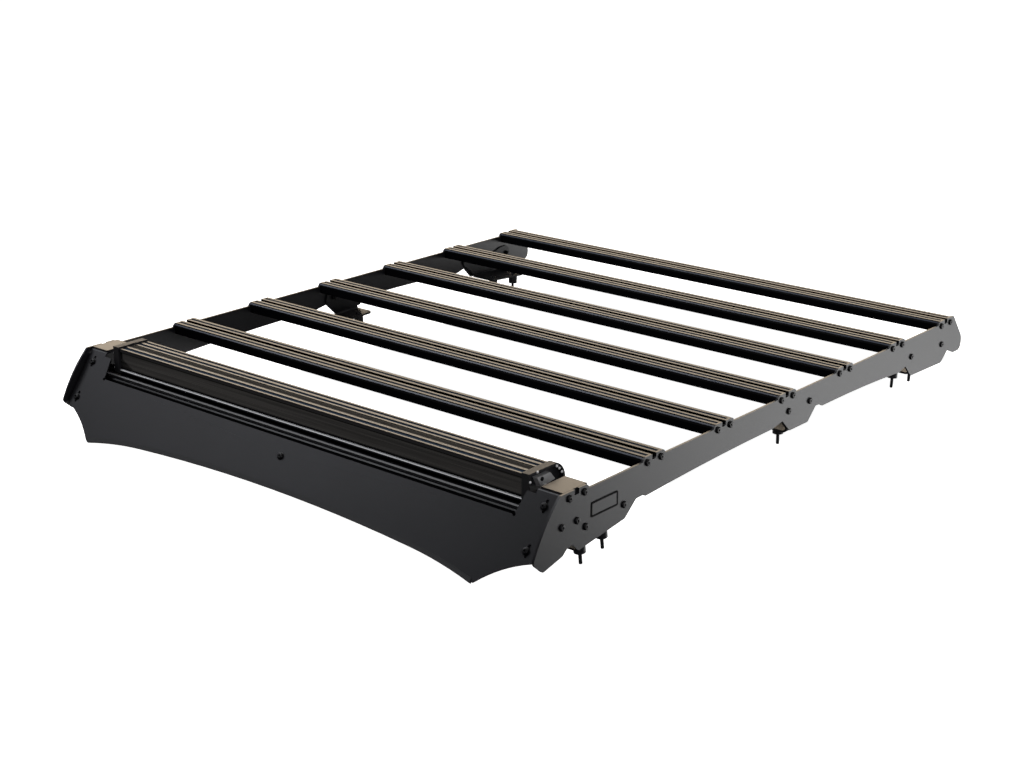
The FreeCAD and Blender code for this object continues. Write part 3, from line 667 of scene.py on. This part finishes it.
def side_badge(rim_material, field_material):
    """The bare badge on the right plate: a thin rounded plate with a raised rim."""
    length = BADGE_REAR - BADGE_FRONT
    height = BADGE_TOP - BADGE_LOW
    centre = (PLATE_OUTER + BADGE_HEIGHT / 2,
              BOLT_LINE_Y + (BADGE_FRONT + BADGE_REAR) / 2,
              BOLT_LINE_Z + (BADGE_TOP + BADGE_LOW) / 2)
    bpy.ops.mesh.primitive_cube_add(size=1, location=centre, scale=(BADGE_HEIGHT, length, height))
    badge = name_piece("side_badge")
    apply_place(badge)
    edit_edges(badge, lambda a, b: abs(a.x - b.x) > BADGE_HEIGHT / 2)
    bpy.ops.mesh.bevel(offset=BADGE_CORNER, segments=6)
    finish_editing()
    edit_faces(badge, lambda face: face.normal.x > AXIS_SHARE)
    bpy.ops.mesh.inset(thickness=BADGE_RIM)
    bpy.ops.mesh.inset(thickness=BADGE_STEP)
    bpy.ops.transform.translate(value=(-BADGE_HEIGHT / 2, 0, 0))
    finish_editing()
    dress(badge, rim_material)
    badge.data.materials.append(field_material)
    field_x = PLATE_OUTER + BADGE_HEIGHT / 2
    for face in badge.data.polygons:
        if face.normal.x > AXIS_SHARE and abs(face.center.x - field_x) < PLACE_GAP:
            face.material_index = 1


# Light bar lip

# The sections of the bead and of a black strip above it, which is a painted shadow in the recess
# under the lens, as (y, z) from the bolt line
LIP_BEAD = ((-0.0263, -0.0180), (-0.0266, -0.0178), (-0.0280, -0.0205), (-0.0278, -0.0211),
            (-0.0272, -0.0211))
LENS_SHADOW_STRIP = ((-0.0251, -0.0150), (-0.0257, -0.0150), (-0.0268, -0.0178), (-0.0262, -0.0178))


def lens_strip(name, section, material):
    """A strip of the given section that runs under the lens from cap to cap."""
    low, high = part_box("light_bar_lens")
    bpy.ops.mesh.primitive_circle_add(vertices=len(section), fill_type="NGON")
    strip = name_piece(name)
    for corner, (y, z) in zip(strip.data.vertices, section):
        corner.co = (low.x, BOLT_LINE_Y + y, BOLT_LINE_Z + z)
    select_only(strip)
    bpy.ops.object.mode_set(mode="EDIT")
    bpy.ops.mesh.select_all(action="SELECT")
    bpy.ops.mesh.extrude_region_move(TRANSFORM_OT_translate={"value": (high.x - low.x, 0, 0)})
    finish_editing()
    dress(strip, material)


# Light bar end screws and block bolts, as (y, z) from the front bolt line

END_SCREWS = (
    (-0.0094, 0.0228),
    (0.0377, 0.0190),
    (0.0441, 0.0135),
    (0.0505, 0.0060),
    (-0.0275, 0.0110),
    (-0.0275, -0.0180),
)
END_SCREW_RADIUS = 0.0024
BLOCK_BOLT = (0.0015, 0.0085)
BLOCK_BOLT_SCALE = 0.6


def end_cap_screws(material):
    """Small pan heads round the rim of each end cap, near white as painted glints."""
    cap_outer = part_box("light_bar_end_cap_right")[1].x
    bpy.ops.mesh.primitive_uv_sphere_add(segments=14, ring_count=8, radius=END_SCREW_RADIUS)
    model = name_piece("pan_head")
    edit_faces(model, lambda face: face.center.z < 0.0)
    bpy.ops.mesh.delete(type="FACE")
    bpy.ops.mesh.select_all(action="SELECT")
    bpy.ops.mesh.edge_face_add()
    finish_editing()
    for side, word in SIDES:
        places = [facing((side * cap_outer, BOLT_LINE_Y + y, BOLT_LINE_Z + z), (side, 0, 0))
                  for y, z in END_SCREWS]
        hardware(model, places, f"end_screws_{word}", material, angle=60.0)
    bpy.data.objects.remove(model)


def block_bolts(material):
    """The black button bolt in each end block of the light bar."""
    cap_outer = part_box("light_bar_end_cap_right")[1].x
    y, z = BLOCK_BOLT
    for side, word in SIDES:
        bolt = button_head()
        seat = (side * cap_outer, BOLT_LINE_Y + y, BOLT_LINE_Z + z)
        bolt.data.transform(facing(seat, (side, 0, 0)) @ Matrix.Scale(BLOCK_BOLT_SCALE, 4))
        bolt.name = bolt.data.name = f"block_bolt_{word}"
        smooth(bolt)
        dress(bolt, material)


# Finishes on the solids

def dress_nodes():
    plate = powder_coat("powder_coated_plate", "17171a", "111113", 0.34, 0.10)
    folded = powder_coat("powder_coated_steel", "101012", "0b0b0c", 0.42, 0.12)
    # Each coat's last three tones are the grooves' painted shade, the chamfers' painted
    # reflection and a rib edge's painted highlight
    slat_coat = coated_extrusion(
        "coated_extrusion", BOLT_LINE_Y, SLAT_HIGH.z, "343d48", "292e3a", "0e0f11")
    front_coat = coated_extrusion(
        "coated_front_extrusion", FRONT_SLAT_Y, FRONT_SLAT_HIGH.z, "050506", "0a0a0c", "909090")
    finishes = (
        ("side_plate", plate),
        ("wind_deflector", plate),
        ("slat_", slat_coat),
        ("front_slat", front_coat),
        ("light_bar_housing", anodised_housing()),
        ("light_bar_lens", smoked_lens()),
        ("light_bar_end_cap", moulded_cap()),
        ("light_bar_bracket", cast_bracket()),
        ("deflector_edge_trim", edge_rubber()),
        ("foot_spacers", turned_spacer()),
        ("foot_studs", threaded_steel()),
        ("foot_", folded),
        ("corner_bracket", plate),
        ("deflector_", folded),
    )
    for name, piece in NODES.items():
        for start, material in finishes:
            if name.startswith(start):
                piece.data.materials.clear()
                piece.data.materials.append(material)
                break


# Stage, lights and camera

FLOOR_SIZE = 120
# A grey flag under the platform, which the camera doesn't see, keeps the low
# panel's light off most of the inner faces
FLAG_PLACE = (0.0, 0.34, 0.002)
FLAG_SIZE = (1.15, 2.28, 1.0)
# The photograph's viewpoint, solved from the rack's own edges
CAMERA_PLACE = (2.11275, -2.52552, 1.14651)
CAMERA_TURN = (math.radians(71.467), 0.0, math.radians(40.353))
CAMERA_LENS = 61.597
SENSOR_WIDTH = 36.0


def studio():
    bpy.ops.mesh.primitive_plane_add(size=FLOOR_SIZE, location=(0, 0, 0))
    floor = name_piece("studio_floor")
    floor.data.materials.append(pale_floor())
    floor.visible_diffuse = False
    floor.visible_glossy = False
    floor.visible_shadow = False
    bpy.ops.mesh.primitive_plane_add(size=1, location=FLAG_PLACE, scale=FLAG_SIZE)
    flag = name_piece("shade_flag")
    apply_place(flag)
    flag.data.materials.append(flag_cloth())
    flag.visible_camera = False
    world = bpy.data.worlds.new("studio")
    world.use_nodes = True
    background = world.node_tree.nodes["Background"]
    background.inputs["Color"].default_value = srgb("d8dce4")
    background.inputs["Strength"].default_value = 0.06
    bpy.context.scene.world = world
    bpy.context.scene.view_settings.view_transform = "Standard"


def softbox(name, place, aim, size, power, code):
    """A soft rectangular light aimed at a point."""
    light = bpy.data.lights.new(name, "AREA")
    light.shape = "RECTANGLE"
    light.size, light.size_y = size
    light.energy = power
    light.color = srgb(code)[:3]
    lamp = bpy.data.objects.new(name, light)
    lamp.location = place
    lamp.rotation_euler = (Vector(aim) - Vector(place)).to_track_quat("-Z", "Y").to_euler()
    bpy.context.scene.collection.objects.link(lamp)


def lights():
    softbox("top_softbox", (0.0, 0.0, 4.5), (0, 0, 0), (6.0, 6.0), 120.0, "ffffff")
    softbox("warm_rear_softbox", (-3.4, 3.9, 2.0), (0, 0, 0.1), (5.5, 2.4), 142.0, "ffebd0")
    softbox("left_panel", (-2.2, -1.2, 2.7), (0, 0, 0.1), (1.6, 1.6), 56.0, "f2f5fa")
    softbox("front_left_panel", (-3.1, -2.6, 2.1), (-0.3, -0.6, 0.1), (1.8, 1.4), 10.5, "f8f8ff")
    softbox("low_front_panel", (-1.9, -2.9, -0.8), (0, -0.6, 0.1), (2.2, 1.4), 1.1, "fff4ea")
    softbox("front_right_fill", (3.8, -4.0, 2.1), (0, 0, 0.1), (3.0, 1.4), 45.0, "f8f8ff")
    softbox("right_fill", (4.8, -0.4, 0.9), (0, 0, 0.1), (3.2, 1.2), 34.0, "f8f8ff")
    softbox("right_rear_panel", (3.15, 4.3, -1.35), (0.5, 0.5, 0.1), (2.4, 2.2), 62.0, "ffffff")


def camera():
    data = bpy.data.cameras.new("camera")
    data.lens = CAMERA_LENS
    data.sensor_width = SENSOR_WIDTH
    view = bpy.data.objects.new("camera", data)
    view.location = CAMERA_PLACE
    view.rotation_euler = CAMERA_TURN
    bpy.context.scene.collection.objects.link(view)
    bpy.context.scene.camera = view


# The scene

deselect()
dress_nodes()
black_screw = blackened_steel()
plate_bolts(black_screw)
foot_nuts(black_screw)
deflector_screws(black_screw)
side_badge(black_enamel(), bpy.data.materials["powder_coated_plate"])
# The end cap screws are near white: a painted glint
end_cap_screws(glint_white_screw())
block_bolts(black_screw)
lens_strip("lens_bead", LIP_BEAD, bare_aluminium())
# A black strip that stands for the painted shadow in the recess under the lens
lens_strip("lens_shadow_strip", LENS_SHADOW_STRIP, bpy.data.materials["black_enamel"])
studio()
lights()
camera()
deselect()
